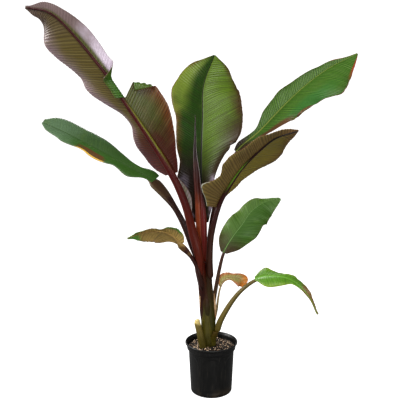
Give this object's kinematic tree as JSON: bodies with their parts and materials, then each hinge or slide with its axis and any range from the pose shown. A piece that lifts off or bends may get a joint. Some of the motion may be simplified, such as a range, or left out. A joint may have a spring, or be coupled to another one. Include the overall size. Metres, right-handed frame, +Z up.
{
  "type": "potted abyssinian banana plant",
  "caption": "Potted abyssinian banana: broad arching leaves on dark red stalks round one upright stem, in a round black nursery pot with a rolled lip.",
  "frame": {"origin": "centre of the pot's underside", "axes": "+Z up; the front of the plant faces -Y; +X is to the viewer's right"},
  "size_m": [1.4569, 0.7235, 1.6103],
  "materials": {
    "pot_plastic": "satin",
    "potting_mix": "matte",
    "stem": "satin",
    "stalk": "satin",
    "leaf": "satin",
    "dry_leaf": "satin",
    "young_leaf": "satin",
    "cut_stub": "matte"
  },
  "bodies": {
    "root": {"pot": "pot_plastic", "soil": "potting_mix", "pseudostem": "stem", "spear": "young_leaf", "young_sheath": "young_leaf", "stub": "cut_stub", "leaf_1_stalk": "stalk", "leaf_1_blade": "leaf", "leaf_2_stalk": "stalk", "leaf_2_blade": "leaf", "leaf_3_stalk": "stalk", "leaf_3_blade": "leaf", "leaf_4_stalk": "stalk", "leaf_4_blade": "leaf", "leaf_5_stalk": "stalk", "leaf_5_blade": "leaf", "leaf_6_stalk": "stalk", "leaf_6_blade": "dry_leaf", "leaf_7_stalk": "stalk", "leaf_7_blade": "leaf", "leaf_8_stalk": "stalk", "leaf_8_blade": "leaf", "leaf_9_stalk": "stalk", "leaf_9_blade": "dry_leaf"}
  },
  "joints": []
}
